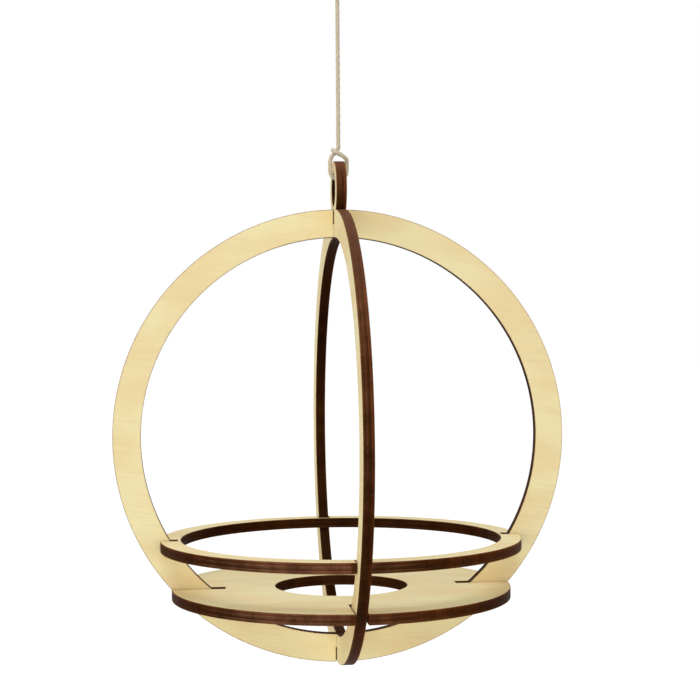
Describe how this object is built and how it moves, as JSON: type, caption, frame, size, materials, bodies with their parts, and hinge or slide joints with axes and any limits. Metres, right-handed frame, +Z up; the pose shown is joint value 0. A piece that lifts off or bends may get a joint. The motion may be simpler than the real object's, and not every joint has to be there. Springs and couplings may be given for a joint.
{
  "type": "hanging air plant holder",
  "caption": "Hanging air plant holder of slotted plywood: crossed upright rings with an eye, a level hoop and a level shelf with a round hole, hung on twine.",
  "frame": {"origin": "the point at the inner top of the hanging loop where it bears on its hook", "axes": "+Z up along the taut twine; +Y away from the viewer, in the plane of the eye ring; +X to the viewer's right, in the plane of the front ring"},
  "size_m": [0.13, 0.13, 0.2222],
  "materials": {
    "plywood": "satin",
    "twine": "matte"
  },
  "bodies": {
    "hanging_loop": {"hanging_loop": "twine"},
    "top_knot": {"top_knot": "twine"},
    "twine": {"twine": "twine"},
    "eye_tie": {"eye_knot": "twine", "eye_loop": "twine"},
    "holder": {"eye_ring": "plywood", "front_ring": "plywood", "upper_hoop": "plywood", "shelf": "plywood"}
  },
  "joints": [
    {"name": "swing_fore_and_aft", "type": "hinge", "parent": "hanging_loop", "child": "top_knot", "pos_m": [0, 0, -0.028], "axis": [1, 0, 0], "range_deg": [-30, 30]},
    {"name": "swing_sideways", "type": "hinge", "parent": "top_knot", "child": "twine", "pos_m": [0, 0, -0.028], "axis": [0, 1, 0], "range_deg": [-30, 30]},
    {"name": "turn_on_twine", "type": "hinge", "parent": "twine", "child": "eye_tie", "pos_m": [0, 0, -0.0742], "axis": [0, 0, 1], "continuous": true},
    {"name": "rock_on_eye_loop", "type": "hinge", "parent": "eye_tie", "child": "holder", "pos_m": [0, 0, -0.0822], "axis": [1, 0, 0], "range_deg": [-40, 40]}
  ]
}
